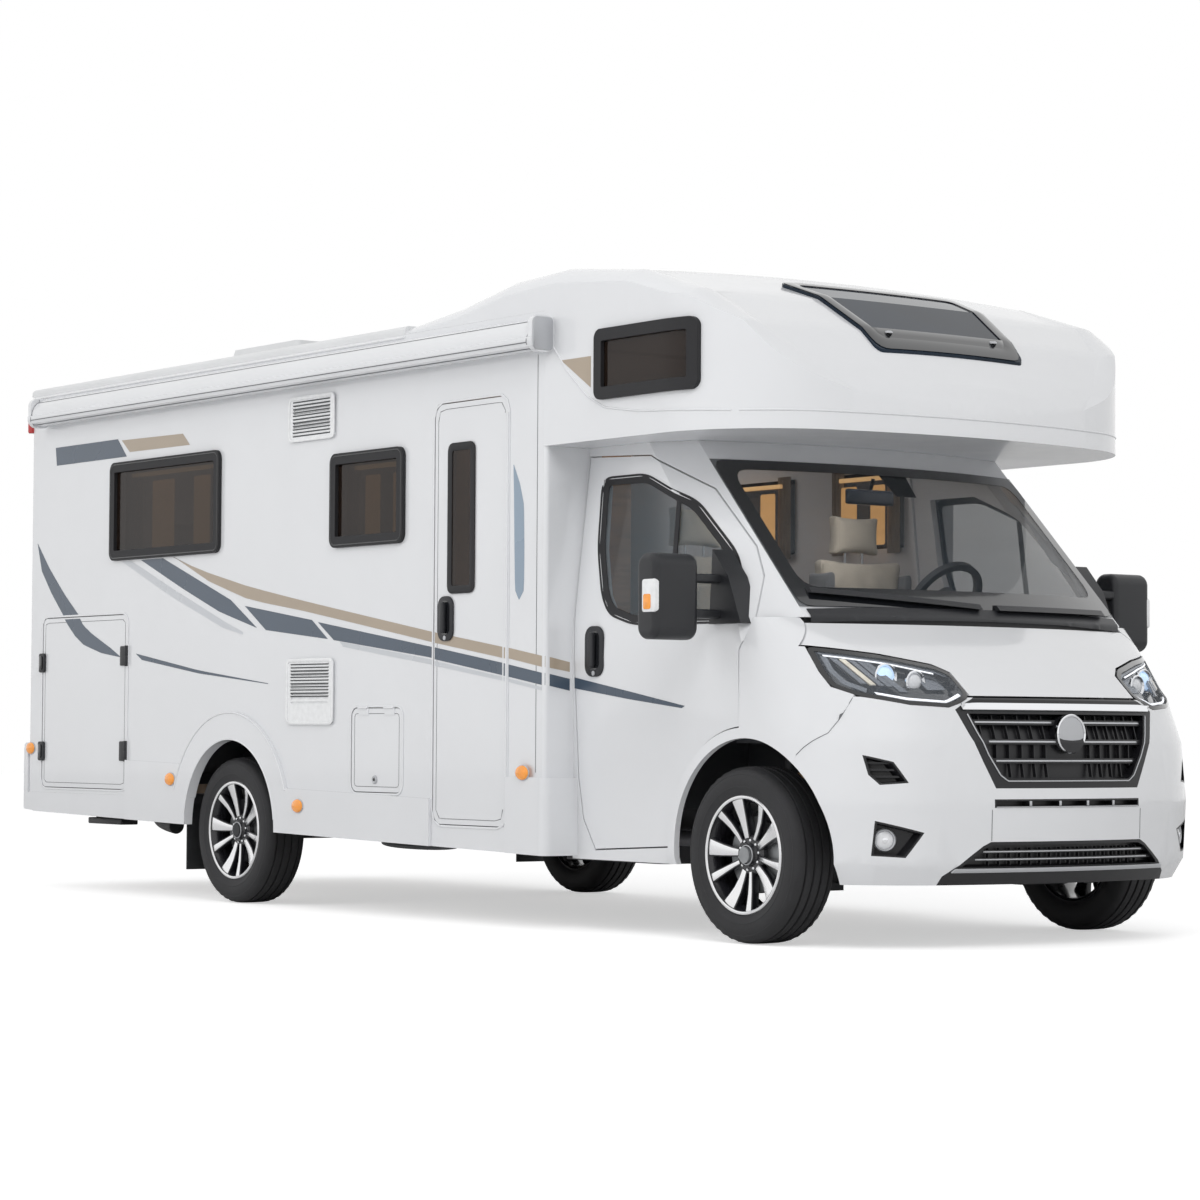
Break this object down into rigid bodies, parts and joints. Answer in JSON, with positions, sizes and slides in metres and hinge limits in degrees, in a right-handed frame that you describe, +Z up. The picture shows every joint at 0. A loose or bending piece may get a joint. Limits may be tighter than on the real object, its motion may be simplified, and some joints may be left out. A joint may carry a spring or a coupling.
{
  "type": "motorhome",
  "caption": "Alcove motorhome on a front-wheel-drive van base: box body with an over-cab bed, hinged doors, lids and bonnet, steered front wheels.",
  "frame": {"origin": "on the ground under the middle of the vehicle's length and width", "axes": "+X forward along the vehicle, +Y to its left, +Z up"},
  "size_m": [6.7917, 2.74, 2.8353],
  "materials": {
    "body_white": "gloss",
    "roof_white": "satin",
    "timber": "satin",
    "tinted_pane": "gloss",
    "black_trim": "matte",
    "grille_black": "satin",
    "lamp_lens": "gloss",
    "screen_glass": "gloss",
    "orange_lens": "gloss",
    "red_lens": "gloss",
    "seat_fabric": "matte",
    "chassis_steel": "satin",
    "engine_alloy": "matte",
    "tank_plastic": "matte",
    "tyre": "matte",
    "rim_alloy": "satin"
  },
  "bodies": {
    "coach": {"habitation_floor": "timber", "side_wall_right": "body_white", "side_wall_left": "body_white", "rear_wall": "body_white", "main_roof": "roof_white", "wheel_boxes": "black_trim", "alcove_shell": "body_white", "alcove_floor": "timber", "roof_light": "tinted_pane", "window_frames": "black_trim", "window_panes": "tinted_pane", "side_skirts": "body_white", "rear_bumper": "body_white", "cab_frame": "body_white", "windscreen": "screen_glass", "headlights": "lamp_lens", "grille": "grille_black", "front_bumper": "body_white", "front_wings": "body_white", "cab_floor": "chassis_steel", "dashboard": "black_trim", "cab_seats": "seat_fabric", "interior_units": "timber", "cushions": "seat_fabric", "awning_case": "body_white", "roof_fittings": "roof_white", "wall_vents": "roof_white", "marker_lights": "orange_lens", "rear_lights": "red_lens", "cowl_and_wipers": "black_trim", "cab_fairings": "body_white", "chassis_frame": "chassis_steel", "rear_axle": "chassis_steel", "front_subframe": "chassis_steel", "engine_block": "engine_alloy", "underfloor_tanks": "tank_plastic", "pins_and_buffers": "black_trim"},
    "steering_wheel": {"steering_wheel": "black_trim"},
    "bonnet": {"bonnet": "body_white"},
    "entry_door": {"entry_door": "body_white", "entry_door_pane": "tinted_pane"},
    "service_hatch": {"service_hatch": "body_white"},
    "knuckle_right": {"knuckle_right": "chassis_steel"},
    "wheel_front_right": {"tyre_front_right": "tyre", "rim_front_right": "rim_alloy"},
    "wheel_rear_right": {"tyre_rear_right": "tyre", "rim_rear_right": "rim_alloy"},
    "cab_door_right": {"cab_door_right": "body_white", "door_glass_right": "screen_glass", "mirror_right": "black_trim"},
    "garage_door_right": {"garage_door_right": "body_white"},
    "knuckle_left": {"knuckle_left": "chassis_steel"},
    "wheel_front_left": {"tyre_front_left": "tyre", "rim_front_left": "rim_alloy"},
    "wheel_rear_left": {"tyre_rear_left": "tyre", "rim_rear_left": "rim_alloy"},
    "cab_door_left": {"cab_door_left": "body_white", "door_glass_left": "screen_glass", "mirror_left": "black_trim"},
    "garage_door_left": {"garage_door_left": "body_white"}
  },
  "joints": [
    {"name": "steer_right", "type": "hinge", "parent": "coach", "child": "knuckle_right", "pos_m": [2.56, -0.745, 0.35], "axis": [0, 0, 1], "range_deg": [-33, 33]},
    {"name": "steer_left", "type": "hinge", "parent": "coach", "child": "knuckle_left", "pos_m": [2.56, 0.745, 0.35], "axis": [0, 0, 1], "range_deg": [-33, 33]},
    {"name": "spin_front_right", "type": "hinge", "parent": "knuckle_right", "child": "wheel_front_right", "pos_m": [2.56, -0.8975, 0.35], "axis": [0, 1, 0], "continuous": true},
    {"name": "spin_rear_right", "type": "hinge", "parent": "coach", "child": "wheel_rear_right", "pos_m": [-1.18, -1.0175, 0.35], "axis": [0, 1, 0], "continuous": true},
    {"name": "cab_door_right", "type": "hinge", "parent": "coach", "child": "cab_door_right", "pos_m": [2.555, -1.015, 0.9], "axis": [0, 0, 1], "range_deg": [0, 70]},
    {"name": "garage_door_right", "type": "hinge", "parent": "coach", "child": "garage_door_right", "pos_m": [-2.172, -1.169, 0.97], "axis": [0, 0, 1], "range_deg": [0, 100]},
    {"name": "spin_front_left", "type": "hinge", "parent": "knuckle_left", "child": "wheel_front_left", "pos_m": [2.56, 0.8975, 0.35], "axis": [0, 1, 0], "continuous": true},
    {"name": "spin_rear_left", "type": "hinge", "parent": "coach", "child": "wheel_rear_left", "pos_m": [-1.18, 1.0175, 0.35], "axis": [0, 1, 0], "continuous": true},
    {"name": "cab_door_left", "type": "hinge", "parent": "coach", "child": "cab_door_left", "pos_m": [2.555, 1.015, 0.9], "axis": [0, 0, -1], "range_deg": [0, 70]},
    {"name": "garage_door_left", "type": "hinge", "parent": "coach", "child": "garage_door_left", "pos_m": [-2.172, 1.169, 0.97], "axis": [0, 0, -1], "range_deg": [0, 100]},
    {"name": "entry_door", "type": "hinge", "parent": "coach", "child": "entry_door", "pos_m": [1.176, -1.166, 1.3], "axis": [0, 0, 1], "range_deg": [0, 105]},
    {"name": "service_hatch", "type": "hinge", "parent": "coach", "child": "service_hatch", "pos_m": [0.1575, -1.166, 0.935], "axis": [-1, 0, 0], "range_deg": [0, 100]},
    {"name": "bonnet", "type": "hinge", "parent": "coach", "child": "bonnet", "pos_m": [2.75, 0, 1.44], "axis": [0, -1, 0], "range_deg": [0, 50]},
    {"name": "steering_wheel", "type": "hinge", "parent": "coach", "child": "steering_wheel", "pos_m": [2.2, 0.42, 1.4], "axis": [-0.8189, 0, 0.5739], "range_deg": [-530, 530]}
  ],
  "couplings": [
    {"joint": "steer_left", "follows": "steer_right", "ratio": 1},
    {"joint": "steering_wheel", "follows": "steer_right", "ratio": 16}
  ]
}
